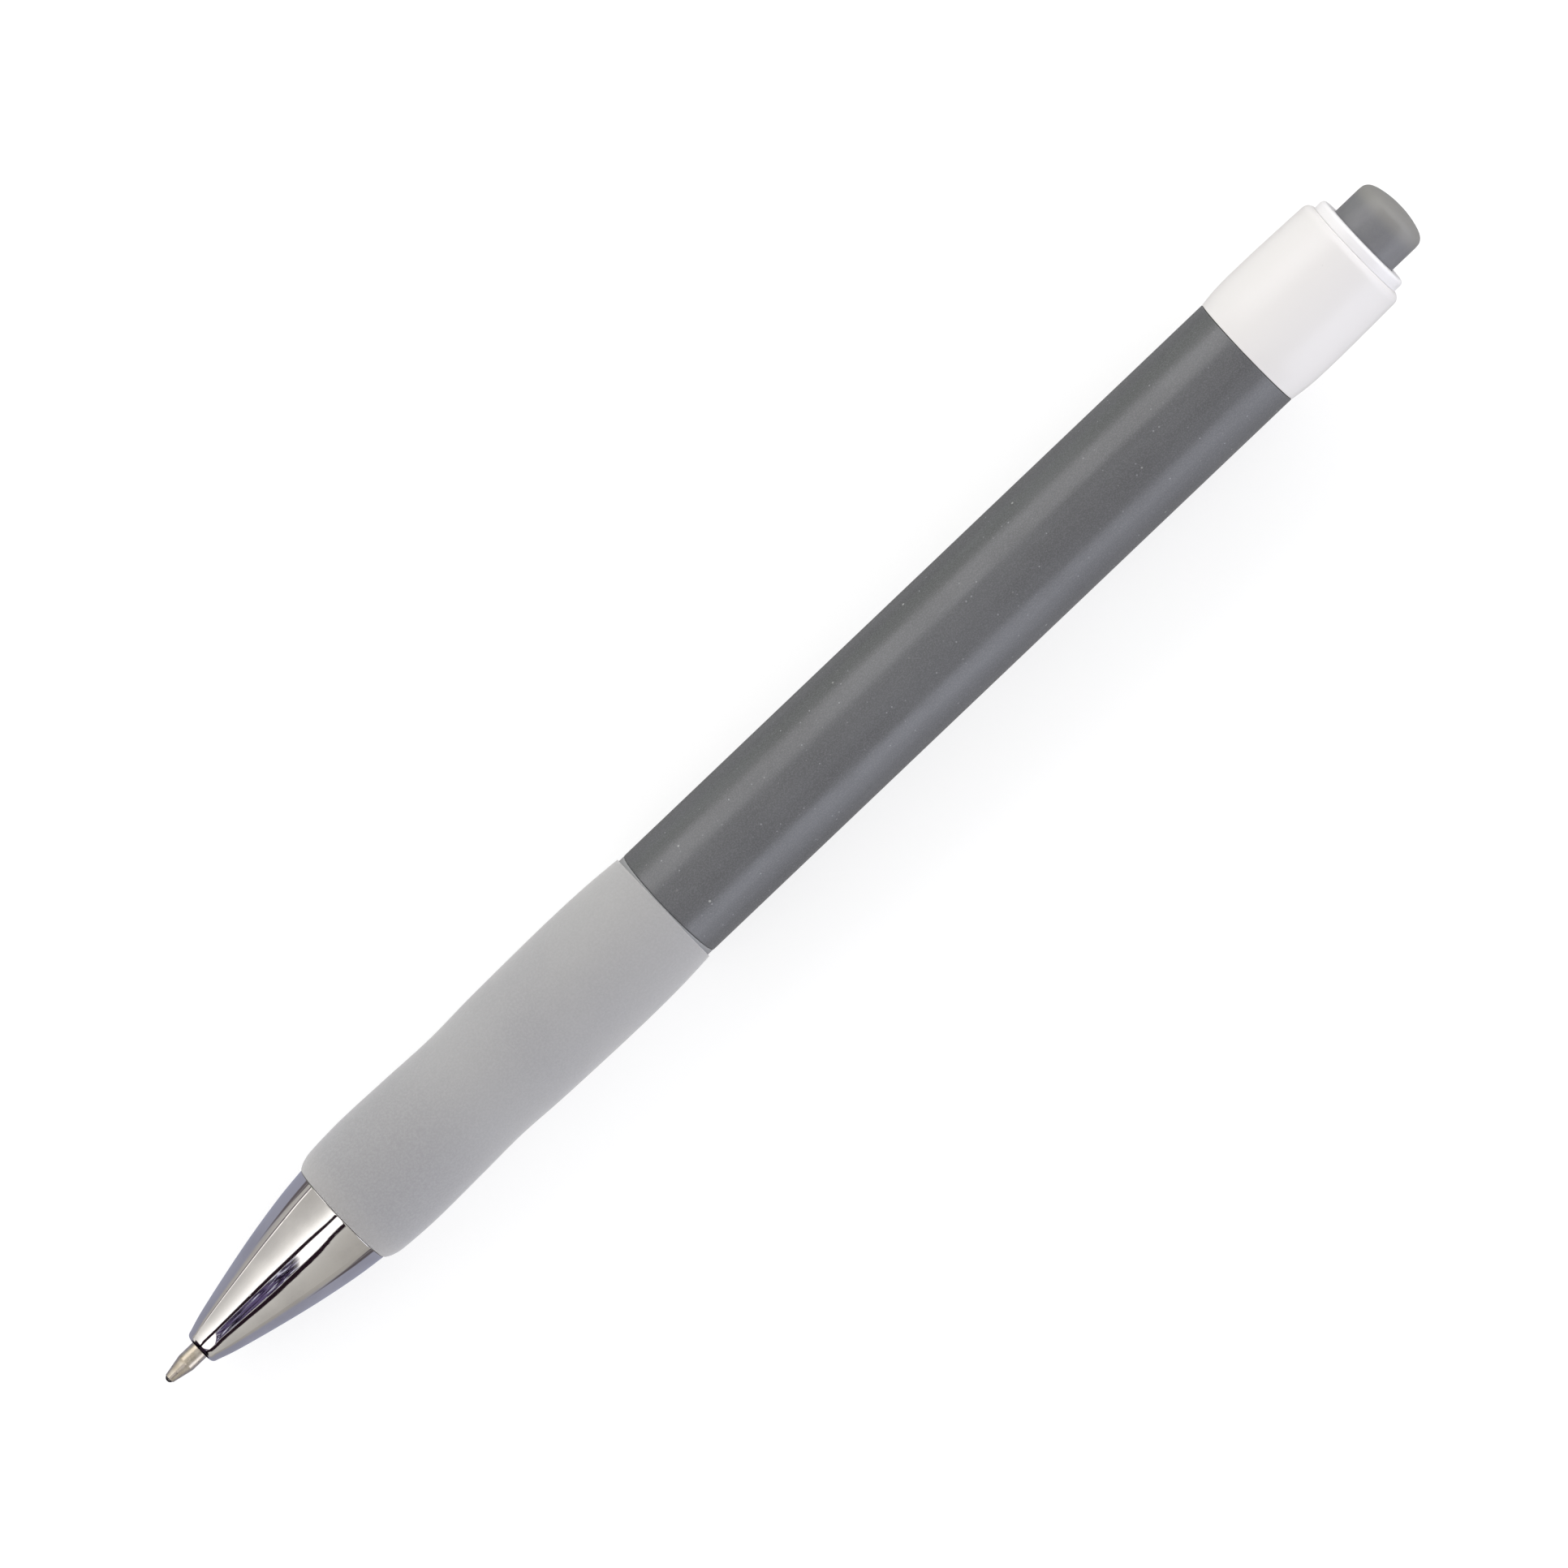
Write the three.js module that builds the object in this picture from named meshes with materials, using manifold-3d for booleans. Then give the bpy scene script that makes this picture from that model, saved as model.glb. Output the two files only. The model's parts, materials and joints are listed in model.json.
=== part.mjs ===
// Retractable ballpoint pen with its tip out, lying on its grip and its clip.
//
// Millimetres, +Z up. Every piece is drawn along the pen's own axis: x runs from the writing
// point, x = 0, to the crown of the push button, and the clip is below the barrel, on -Z.
// The last section tips the pen until the grip and the clip both touch the table, z = 0.
// An outline is a list of [x, radius] points, from low x to high x.

import * as THREE from 'three';
import { mergeVertices } from 'three/addons/utils/BufferGeometryUtils.js';
import Module from 'manifold-3d';

// ---- Driving dimensions ----------------------------------------------------------------

const sides = 32; // facets round an outer piece
const slimSides = 20; // facets round a piece of the refill
const seat = 0.05; // gap between two pieces that are seated on each other

const penLength = 143;
const restTilt = THREE.MathUtils.degToRad(2.5); // the clip props up the button's end

const ball = { radius: 0.4, play: 0.04 };
const tip = {
  front: 0.25, lip: 0.49, lipBore: 0.385, radius: 0.83, coneEnd: 2.3, collar: 9, collarRadius: 1.15,
  shank: 0.6, inkChannel: 0.14, end: 14,
};
const holder = {
  front: 11 + seat, frontRadius: 1.0, taperEnd: 11.85, radius: 1.25, flange: 27.5, flangeRadius: 2.05,
  flangeEnd: 28.7, end: 33, socket: 0.65, bore: 0.4,
};
const refill = { radius: 1.5, bore: 1.0, end: 118.95, inkEnd: 100 };
const spring = {
  front: 13.05, end: 27.45, radius: 1.75, wire: 0.2,
  turns: 9.5, closedTurns: 1, closedPitch: 0.45, stepsPerTurn: 14,
};

const nose = {
  front: 3.9, rim: 1.2, rimRound: 0.1, end: 20.27, baseRadius: 5.0,
  hole: 0.885, holeEnd: 6.5, neck: 1.35, neckFront: 7, springSeat: 13, springBore: 2.5,
};
const spigot = { radius: 3.3, end: 27, chamfer: 0.3 };
const thread = {
  pitch: 1, front: 21.3, turns: 4.4, rootWidth: 0.5, crestWidth: 0.2, height: 0.32,
  overlap: 0.1, stepsPerTurn: 20,
};

const sleeveRadius = 4.5; // of the tubes that the outer pieces slide on
const sleeveBore = sleeveRadius + seat;
const lowerBarrel = {
  front: nose.end + seat, threadBore: 3.72, threadEnd: 28, taperEnd: 28.7, bore: 3.0, end: 66,
};
const revealRing = { front: 57.7, end: 58.25, radius: 5.41 };
const grip = { front: nose.end + 0.13, end: revealRing.front - 0.08 };
const upperBarrel = { front: revealRing.end + seat, end: 125.2, radius: 5.43 };
const collar = { front: upperBarrel.end + seat, end: 137.66, corner: 0.75, cornerRadius: 5.55 };
const housing = { front: 116, flange: 137.7, end: 138.72, flangeRadius: 4.83, edge: 0.35 };

const guideBore = 3.5; // of the ratchet housing, for the push button
const channel = { count: 4, radius: 3.98, width: 1.4, front: 125, end: 136.55 };
const catchNotch = { width: 1.4, depth: 0.6 };
const button = {
  front: 131.05, radius: 3.43, bore: 2.6, boreTaper: 140.7, boreEnd: 141.2, boreEndRadius: 2.0,
};
const cam = {
  front: 126.1, lugFront: 127.6, lugEnd: 131, end: 139.5, radius: 3.35, stemRadius: 2.55,
  bore: 1.6, boreEnd: 137.5,
};
const rotor = {
  front: 115, body: 121.7, ribEnd: 124.85, end: 126, radius: 3.35, stemRadius: 2.3, bore: 1.55,
};
const lug = { radius: 3.85, width: 0.95, base: 3.0 };
const crown = { teeth: 8, depth: 0.8 };

// The clip hangs on a knuckle that turns in a seat in the collar's boss. Angles are in degrees,
// from +x towards the table.
const knuckle = {
  x: 126.6, depth: 8.7, radius: 1.45, play: 0.08, seatFrom: 50, seatTo: -75, armFrom: -150, armTo: 100,
};
const boss = { front: 127.0, end: 136.2, base: 3.7, heel: 7.2, shoulder: 132.2, mouth: 127.8, lift: 0.3 };
const clip = {
  tip: 95, toe: 95.9, toeDrop: 0.7, padFront: 96.9, padEnd: 98.9, padGap: 0.2, armFront: 101,
  innerEnd: 124.4, outerEnd: 125, thickness: 1.8, tipWidth: 4.6, rootWidth: 5.6, taperEnd: 118.6,
};

// ---- Shape helpers ---------------------------------------------------------------------

// Points of an outline on a smooth curve through the given ones.
function smooth(points, count) {
  const curve = new THREE.SplineCurve(points.map(([x, r]) => new THREE.Vector2(x, r)));
  return curve.getPoints(count).map((p) => [p.x, p.y]);
}

// Points of an outline on an arc about [x, r], by its angles from +x towards +r.
function arc([x, r], radius, from, to, steps) {
  return Array.from({ length: steps + 1 }, (_, i) => {
    const angle = THREE.MathUtils.degToRad(from + ((to - from) * i) / steps);
    return [x + radius * Math.cos(angle), r + radius * Math.sin(angle)];
  });
}

const solidOutline = (outer) => [[outer[0][0], 0], ...outer, [outer.at(-1)[0], 0]];
const tubeOutline = (outer, bore) => [...outer, ...bore.toReversed(), outer[0]];
// A bore that ends on the axis, inside a piece whose outside ends on the axis too.
const blindOutline = (outer, bore) => [...bore.toReversed(), ...outer];

// Turns a whole outline about the x axis.
function turned(outline, facets = sides) {
  const points = outline.map(([x, r]) => new THREE.Vector2(r, x));
  return new THREE.LatheGeometry(points, facets).rotateZ(-Math.PI / 2);
}

// A bar right across the axis, from x0 to x1, as wide as width and reaching out to radius.
function crossBar(x0, x1, width, radius) {
  return new THREE.BoxGeometry(x1 - x0, width, 2 * radius).translate((x0 + x1) / 2, 0, 0);
}

// A bar of triangular section right across the axis, its base at x and its ridge at x + rise.
function crossWedge(x, rise, width, radius) {
  const section = new THREE.Shape();
  section.moveTo(x, -width / 2);
  section.lineTo(x, width / 2);
  section.lineTo(x + rise, 0);
  const wedge = new THREE.ExtrudeGeometry(section, { depth: 2 * radius, bevelEnabled: false });
  return wedge.translate(0, 0, -radius);
}

// Copies of a bar across the axis, so that its ends make the given number of even steps round it.
function spread(bar, ends, offset = 0) {
  return Array.from({ length: ends / 2 }, (_, i) => bar.clone().rotateX(offset + (2 * Math.PI * i) / ends));
}

// A side view, drawn as x and depth below the axis, made width thick across the pen.
function fromSide(shape, width) {
  const plate = new THREE.ExtrudeGeometry(shape, { depth: width, bevelEnabled: false, curveSegments: 6 });
  return plate.rotateX(-Math.PI / 2).translate(0, -width / 2, 0);
}

// A trapezoidal ridge along a right-hand helix. A crest inside its root makes an inner thread.
function threadRidge({ front, turns, rootRadius, crestRadius }) {
  const corners = [
    [-thread.rootWidth / 2, rootRadius],
    [-thread.crestWidth / 2, crestRadius],
    [thread.crestWidth / 2, crestRadius],
    [thread.rootWidth / 2, rootRadius],
  ];
  if (crestRadius < rootRadius) corners.reverse();
  const steps = Math.round(turns * thread.stepsPerTurn);
  const positions = [];
  const index = [];
  for (let step = 0; step <= steps; step++) {
    const turn = step / thread.stepsPerTurn;
    const angle = 2 * Math.PI * turn;
    for (const [offset, radius] of corners) {
      const x = front + offset + turn * thread.pitch;
      positions.push(x, radius * Math.cos(angle), radius * Math.sin(angle));
    }
  }
  for (let step = 0; step < steps; step++) {
    for (let corner = 0; corner < 4; corner++) {
      const a = 4 * step + corner;
      const b = 4 * step + ((corner + 1) % 4);
      index.push(a, a + 4, b, b, a + 4, b + 4);
    }
  }
  const last = 4 * steps;
  index.push(0, 1, 2, 0, 2, 3, last, last + 2, last + 1, last, last + 3, last + 2);
  const ridge = new THREE.BufferGeometry();
  ridge.setAttribute('position', new THREE.Float32BufferAttribute(positions, 3));
  return ridge.setIndex(index);
}

// ---- The line of the table -------------------------------------------------------------

const gripOutline = smooth([
  [grip.front, 5.02], [21.2, 5.42], [22.4, 5.64], [26, 5.79], [31, 5.69], [35.9, 5.57],
  [41, 5.76], [48.8, 5.88], [54, 5.81], [grip.end, 5.58],
], 18);

// How far below the pen's axis the table is, at x: the grip touches it.
const slope = Math.tan(restTilt);
const gripTouch = Math.max(...gripOutline.map(([x, r]) => r - x * slope));
const tableDepth = (x) => gripTouch + x * slope;

// ---- Booleans --------------------------------------------------------------------------

const wasm = await Module();
wasm.setup();

function toSolid(geometry) {
  const bare = geometry.clone();
  bare.deleteAttribute('normal');
  bare.deleteAttribute('uv');
  const merged = mergeVertices(bare, 1e-5);
  const triangles = [];
  for (let i = 0; i < merged.index.count; i += 3) {
    const [a, b, c] = [0, 1, 2].map((k) => merged.index.getX(i + k));
    if (a !== b && b !== c && c !== a) triangles.push(a, b, c);
  }
  return new wasm.Manifold(new wasm.Mesh({
    numProp: 3,
    vertProperties: new Float32Array(merged.attributes.position.array),
    triVerts: new Uint32Array(triangles),
  }));
}

function toGeometry(solid) {
  const mesh = solid.getMesh();
  const geometry = new THREE.BufferGeometry();
  geometry.setAttribute('position', new THREE.BufferAttribute(mesh.vertProperties, 3));
  return geometry.setIndex(new THREE.BufferAttribute(mesh.triVerts, 1));
}

const join = (...pieces) => toGeometry(pieces.map(toSolid).reduce((a, b) => a.add(b)));
const cut = (...pieces) => toGeometry(pieces.map(toSolid).reduce((a, b) => a.subtract(b)));
const common = (...pieces) => toGeometry(pieces.map(toSolid).reduce((a, b) => a.intersect(b)));

// ---- Front end: nose cone, lower barrel and grip ---------------------------------------

function makeNoseCone() {
  const base = [nose.end, nose.baseRadius];
  const side = [[4.35, 1.65], [6, 2.18], [9.4, 3.03], [13.5, 3.94], [17.5, 4.65], base];
  const outer = [
    [nose.front, nose.rim],
    [nose.front + nose.rimRound, nose.rim + 2 * nose.rimRound],
    ...smooth(side, 12),
    [nose.end, spigot.radius],
    [spigot.end - spigot.chamfer, spigot.radius],
    [spigot.end, spigot.radius - spigot.chamfer],
  ];
  const bore = [
    [nose.front, nose.hole],
    [nose.holeEnd, nose.hole],
    [nose.neckFront, nose.neck],
    [nose.springSeat, nose.neck],
    [nose.springSeat, nose.springBore],
    [spigot.end, nose.springBore],
  ];
  const ridge = threadRidge({
    front: thread.front,
    turns: thread.turns,
    rootRadius: spigot.radius - thread.overlap,
    crestRadius: spigot.radius + thread.height,
  });
  return join(turned(tubeOutline(outer, bore)), ridge);
}

function makeLowerBarrel() {
  const outer = [
    [lowerBarrel.front, sleeveRadius],
    [revealRing.front, sleeveRadius],
    [revealRing.front, revealRing.radius],
    [revealRing.end, revealRing.radius],
    [revealRing.end, sleeveRadius],
    [lowerBarrel.end, sleeveRadius],
  ];
  const bore = [
    [lowerBarrel.front, lowerBarrel.threadBore],
    [lowerBarrel.threadEnd, lowerBarrel.threadBore],
    [lowerBarrel.taperEnd, lowerBarrel.bore],
    [lowerBarrel.end, lowerBarrel.bore],
  ];
  // Half a pitch from the nose cone's ridge, so that each ridge runs in the other's groove.
  const ridge = threadRidge({
    front: thread.front - thread.pitch / 2,
    turns: thread.turns + 0.5,
    rootRadius: lowerBarrel.threadBore + thread.overlap,
    crestRadius: lowerBarrel.threadBore - thread.height,
  });
  return join(turned(tubeOutline(outer, bore)), ridge);
}

function makeGrip() {
  return turned(tubeOutline(gripOutline, [[grip.front, sleeveBore], [grip.end, sleeveBore]]));
}

// ---- Rear end: upper barrel, clip collar, clip arm and ratchet housing -----------------

function makeUpperBarrel() {
  const ends = [upperBarrel.front, upperBarrel.end];
  const outer = ends.map((x) => [x, upperBarrel.radius]);
  return turned(tubeOutline(outer, ends.map((x) => [x, sleeveBore])));
}

// The knuckle's outline, or the seat that it turns in, from one angle to another.
function addKnuckleArc(shape, play, from, to) {
  const [start, end] = [from, to].map(THREE.MathUtils.degToRad);
  shape.absarc(knuckle.x, knuckle.depth, knuckle.radius + play, start, end, from > to);
}

function makeCollar() {
  const swell = [[collar.front, 5.44], [127.1, 5.65], [129.8, 5.71], [133.9, 5.65]];
  const cornerStart = [collar.end - collar.corner, collar.cornerRadius];
  const corner = arc([cornerStart[0], cornerStart[1] - collar.corner], collar.corner, 90, 0, 3);
  const ends = [collar.front, collar.end];
  const outer = [...smooth([...swell, cornerStart], 10), ...corner.slice(1)];
  const ring = turned(tubeOutline(outer, ends.map((x) => [x, sleeveBore])));

  const side = new THREE.Shape();
  side.moveTo(boss.front, boss.base);
  side.lineTo(boss.end, boss.base);
  side.lineTo(boss.end, boss.heel);
  const underside = (x) => tableDepth(x) - boss.lift;
  side.quadraticCurveTo(boss.end, underside(boss.shoulder), boss.shoulder, underside(boss.shoulder));
  side.lineTo(boss.mouth, underside(boss.mouth));
  addKnuckleArc(side, knuckle.play, knuckle.seatFrom, knuckle.seatTo);
  side.closePath();
  const bore = turned(solidOutline([[collar.front - 1, sleeveBore], [collar.end + 1, sleeveBore]]));
  return cut(join(ring, fromSide(side, clip.rootWidth)), bore);
}

function makeClipArm() {
  const inner = (x) => tableDepth(x) - clip.thickness;
  const padDepth = upperBarrel.radius + clip.padGap;
  const side = new THREE.Shape();
  side.moveTo(clip.toe, tableDepth(clip.toe));
  side.quadraticCurveTo(clip.tip, tableDepth(clip.tip), clip.tip, inner(clip.tip) + clip.toeDrop);
  side.quadraticCurveTo(clip.tip, padDepth, clip.padFront, padDepth);
  side.quadraticCurveTo(clip.padEnd, padDepth, clip.armFront, inner(clip.armFront));
  side.lineTo(clip.innerEnd, inner(clip.innerEnd));
  addKnuckleArc(side, 0, knuckle.armFrom, knuckle.armTo);
  side.lineTo(clip.outerEnd, tableDepth(clip.outerEnd));
  side.closePath();

  const plan = new THREE.Shape();
  const tipRadius = clip.tipWidth / 2;
  const root = clip.rootWidth / 2;
  const end = knuckle.x + 2 * knuckle.radius;
  plan.moveTo(end, -root);
  plan.lineTo(end, root);
  plan.lineTo(clip.taperEnd, root);
  plan.lineTo(clip.tip + tipRadius, tipRadius);
  plan.absarc(clip.tip + tipRadius, 0, tipRadius, Math.PI / 2, 1.5 * Math.PI, false);
  plan.lineTo(clip.taperEnd, -root);
  plan.closePath();
  const depth = 2 * tableDepth(knuckle.x);
  const outline = new THREE.ExtrudeGeometry(plan, { depth, bevelEnabled: false, curveSegments: 8 });
  return common(fromSide(side, 2 * clip.rootWidth), outline.translate(0, 0, -depth));
}

function makeHousing() {
  const edge = arc([housing.end - housing.edge, housing.flangeRadius - housing.edge], housing.edge, 90, 0, 3);
  const outer = [
    [housing.front, sleeveRadius],
    [housing.flange, sleeveRadius],
    [housing.flange, housing.flangeRadius],
    ...edge,
  ];
  const bore = [
    [housing.front, channel.radius],
    [channel.front, channel.radius],
    [channel.front, guideBore],
    [housing.end, guideBore],
  ];
  const channelBar = crossBar(channel.front - 1, channel.end, channel.width, channel.radius);
  const channels = spread(channelBar, channel.count);
  const notch = crossWedge(channel.front, catchNotch.depth, catchNotch.width, channel.radius);
  const notches = spread(notch, channel.count, Math.PI / channel.count);
  return cut(turned(tubeOutline(outer, bore)), ...channels, ...notches);
}

// ---- Click mechanism: push button, thrust cam and rotor --------------------------------

function makePushButton() {
  const outer = [
    [button.front, button.radius],
    [141.45, button.radius],
    [141.95, 3.345],
    [142.35, 3.03],
    [142.62, 2.5],
    [142.82, 1.75],
    [142.95, 0.9],
    [penLength, 0],
  ];
  const bore = [
    [button.front, button.bore],
    [button.boreTaper, button.bore],
    [button.boreEnd, button.boreEndRadius],
    [button.boreEnd, 0],
  ];
  return turned(blindOutline(outer, bore));
}

// Grooves that leave a ring of pointed teeth on the end at x; rise is the way into the piece.
function crownGrooves(x, rise) {
  const width = (2 * Math.PI * cam.radius) / crown.teeth;
  return spread(crossWedge(x, rise, width, cam.radius + 1), crown.teeth, Math.PI / crown.teeth);
}

function makeThrustCam() {
  const outer = [
    [cam.front, cam.radius],
    [cam.lugEnd, cam.radius],
    [cam.lugEnd, cam.stemRadius],
    [cam.end, cam.stemRadius],
    [cam.end, 0],
  ];
  const bore = [[cam.front, cam.bore], [cam.boreEnd, cam.bore], [cam.boreEnd, 0]];
  const lugs = spread(crossBar(cam.lugFront, cam.lugEnd, lug.width, lug.radius), channel.count)
    .map((bar) => cut(bar, turned(solidOutline([[cam.front, lug.base], [cam.lugEnd + 1, lug.base]]))));
  return cut(join(turned(blindOutline(outer, bore)), ...lugs), ...crownGrooves(cam.front, crown.depth));
}

function makeRotor() {
  const outer = [
    [rotor.front, rotor.stemRadius],
    [rotor.body, rotor.stemRadius],
    [rotor.body, rotor.radius],
    [rotor.end, rotor.radius],
    [rotor.end, 0],
  ];
  const bore = [[rotor.front, rotor.bore], [refill.end + seat, rotor.bore], [refill.end + seat, 0]];
  const ribs = spread(crossBar(rotor.body, rotor.ribEnd, lug.width, lug.radius), channel.count)
    .map((bar) => cut(bar, turned(solidOutline([[rotor.front, lug.base], [rotor.end, lug.base]]))));
  return cut(join(turned(blindOutline(outer, bore)), ...ribs), ...crownGrooves(rotor.end, -crown.depth));
}

// ---- Refill and return spring ----------------------------------------------------------

function makeRefillTube() {
  const ends = [holder.flangeEnd + seat, refill.end];
  const outer = ends.map((x) => [x, refill.radius]);
  return turned(tubeOutline(outer, ends.map((x) => [x, refill.bore])), slimSides);
}

function makeInkColumn() {
  const radius = refill.bore - seat;
  return turned(solidOutline([[holder.end + seat, radius], [refill.inkEnd, radius]]), slimSides);
}

function makeTipHolder() {
  const stem = refill.bore - seat;
  const outer = [
    [holder.front, holder.frontRadius],
    [holder.taperEnd, holder.radius],
    [holder.flange, holder.radius],
    [holder.flange, holder.flangeRadius],
    [holder.flangeEnd, holder.flangeRadius],
    [holder.flangeEnd, stem],
    [holder.end, stem],
  ];
  const bore = [
    [holder.front, holder.socket],
    [tip.end + seat, holder.socket],
    [tip.end + seat, holder.bore],
    [holder.end, holder.bore],
  ];
  return turned(tubeOutline(outer, bore), slimSides);
}

function makeWritingTip() {
  const outer = [
    [tip.front, tip.lip],
    [tip.coneEnd, tip.radius],
    [tip.collar, tip.radius],
    [tip.collar, tip.collarRadius],
    [holder.front - seat, tip.collarRadius],
    [holder.front - seat, tip.shank],
    [tip.end, tip.shank],
  ];
  const socketRadius = ball.radius + ball.play;
  const bore = [
    [tip.front, tip.lipBore],
    ...arc([ball.radius, 0], socketRadius, 90, 30, 3),
    [ball.radius + socketRadius, tip.inkChannel],
    [tip.end, tip.inkChannel],
  ];
  return turned(tubeOutline(outer, bore), slimSides);
}

const makeBall = () => new THREE.SphereGeometry(ball.radius, 16, 12).translate(ball.radius, 0, 0);

// The spring's wire: closed turns at both ends and an even pitch between them.
class SpringCoil extends THREE.Curve {
  getPoint(t) {
    const { front, end, radius, wire, turns, closedTurns, closedPitch } = spring;
    const openPitch = (end - front - 2 * wire - 2 * closedTurns * closedPitch) / (turns - 2 * closedTurns);
    const turn = t * turns;
    const openTurns = THREE.MathUtils.clamp(turn - closedTurns, 0, turns - 2 * closedTurns);
    const x = front + wire + (turn - openTurns) * closedPitch + openTurns * openPitch;
    const angle = 2 * Math.PI * turn;
    return new THREE.Vector3(x, radius * Math.cos(angle), radius * Math.sin(angle));
  }
}

function makeReturnSpring() {
  const section = new THREE.Shape();
  section.absarc(0, 0, spring.wire, 0, 2 * Math.PI);
  const steps = Math.round(spring.stepsPerTurn * spring.turns);
  return new THREE.ExtrudeGeometry(section, { extrudePath: new SpringCoil(), steps, curveSegments: 3 });
}

// ---- The assembly ----------------------------------------------------------------------

function finish(color, roughness, metalness = 0) {
  return new THREE.MeshStandardMaterial({ color, roughness, metalness });
}

const greyBarrel = finish(0x6d6c70, 0.32, 0.35);
const smokePlastic = finish(0x7c7c80, 0.28);
const whitePlastic = finish(0xe4e2e3, 0.3);
const nylon = finish(0xefefe9, 0.5);
const darkNylon = finish(0x46464a, 0.5);
const gripRubber = finish(0x9f9fa3, 0.75);
const chrome = finish(0xd8d6dc, 0.08, 1);
const steel = finish(0xb4b4b6, 0.25, 1);
const nickelSilver = finish(0xbfb5a4, 0.25, 1);
const clearPlastic = finish(0xe9edef, 0.25);
const ink = finish(0x15171f, 0.4);

const pieces = [
  ['upper_barrel', makeUpperBarrel, greyBarrel],
  ['lower_barrel', makeLowerBarrel, smokePlastic],
  ['grip_sleeve', makeGrip, gripRubber],
  ['clip_collar', makeCollar, whitePlastic],
  ['clip_arm', makeClipArm, whitePlastic],
  ['mechanism_housing', makeHousing, whitePlastic],
  ['push_button', makePushButton, smokePlastic],
  ['thrust_cam', makeThrustCam, darkNylon],
  ['rotor', makeRotor, nylon],
  ['refill_tube', makeRefillTube, clearPlastic],
  ['ink_column', makeInkColumn, ink],
  ['tip_holder', makeTipHolder, clearPlastic],
  ['writing_tip', makeWritingTip, nickelSilver],
  ['ball', makeBall, steel],
  ['return_spring', makeReturnSpring, steel],
  ['nose_cone', makeNoseCone, chrome],
];

const pen = new THREE.Group();
for (const [name, make, material] of pieces) {
  const mesh = new THREE.Mesh(make(), material);
  mesh.name = name;
  pen.add(mesh);
}

// Tip the pen, then set it down with the origin under the middle of its box.
pen.rotation.y = -restTilt;
const box = new THREE.Box3().setFromObject(pen, true);
pen.position.set(-(box.min.x + box.max.x) / 2, -(box.min.y + box.max.y) / 2, -box.min.z);

const model = new THREE.Group();
model.add(pen);

export default model;
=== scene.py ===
"""The looks of a retractable ballpoint pen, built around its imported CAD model.

Every piece is drawn along the pen's own axis, in millimetres: x runs from the writing point,
x = 0, to the crown of the push button, and the clip is below the barrel, on -Z. An outline is
a list of (x, radius) points, or (x, radius, rounding) where a corner is rounded.
"""

import json
import math

import bmesh
import bpy
from mathutils import Matrix, Vector


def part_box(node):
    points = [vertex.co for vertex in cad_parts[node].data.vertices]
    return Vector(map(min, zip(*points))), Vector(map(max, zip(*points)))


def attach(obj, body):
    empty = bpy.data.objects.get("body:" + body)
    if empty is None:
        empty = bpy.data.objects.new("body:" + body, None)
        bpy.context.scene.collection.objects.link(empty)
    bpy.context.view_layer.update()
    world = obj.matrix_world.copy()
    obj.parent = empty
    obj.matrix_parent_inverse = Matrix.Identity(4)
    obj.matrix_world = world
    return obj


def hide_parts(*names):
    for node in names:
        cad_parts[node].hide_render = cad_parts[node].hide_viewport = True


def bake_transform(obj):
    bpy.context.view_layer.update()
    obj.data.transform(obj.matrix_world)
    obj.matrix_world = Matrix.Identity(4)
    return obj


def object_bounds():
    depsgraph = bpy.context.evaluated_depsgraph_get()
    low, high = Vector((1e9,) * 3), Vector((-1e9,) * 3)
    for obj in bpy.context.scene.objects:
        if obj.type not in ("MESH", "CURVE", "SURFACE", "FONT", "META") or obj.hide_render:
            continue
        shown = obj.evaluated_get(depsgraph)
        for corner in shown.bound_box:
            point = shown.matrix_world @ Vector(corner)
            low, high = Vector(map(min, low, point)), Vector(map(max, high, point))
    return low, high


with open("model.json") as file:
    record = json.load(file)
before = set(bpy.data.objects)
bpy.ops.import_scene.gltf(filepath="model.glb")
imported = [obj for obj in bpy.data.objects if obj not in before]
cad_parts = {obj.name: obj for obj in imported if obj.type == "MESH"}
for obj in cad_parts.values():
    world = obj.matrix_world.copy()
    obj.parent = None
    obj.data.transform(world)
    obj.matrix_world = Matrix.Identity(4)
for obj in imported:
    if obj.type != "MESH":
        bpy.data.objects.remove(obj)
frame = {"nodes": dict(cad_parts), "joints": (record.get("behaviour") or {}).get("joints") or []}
cad_box = [list(corner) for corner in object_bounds()]

MM = 0.001
JOINTS = {joint["name"]: joint for joint in frame["joints"]}

# ---- The pen's own frame ---------------------------------------------------------------

BALL_RADIUS = 0.4
PEN_MIDDLE = 71.5


def pen_matrix():
    """From the pen's own frame to the row frame: its axis is the push button's, through the ball."""
    along = -Vector(JOINTS["button_press"]["axis"]).normalized()
    across = Vector((0, 1, 0))
    away = along.cross(across)
    low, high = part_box("ball")
    origin = (low + high) / 2 - along * BALL_RADIUS * MM
    matrix = Matrix((along, across, away)).transposed().to_4x4()
    matrix.translation = origin
    return matrix


PEN = pen_matrix()
TILT = math.asin(PEN.col[0][2])


def at(x, depth=0.0):
    """A point x along the pen and depth below its axis, in the row frame."""
    return PEN @ Vector((x * MM, 0, -depth * MM))


def table_depth(x):
    """How far below the pen's axis the floor is, at x."""
    return at(x).z / MM / math.cos(TILT)


# ---- Outlines --------------------------------------------------------------------------

SUPPORT = 0.06  # between a rounding and the loop that keeps the face beside it flat


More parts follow.
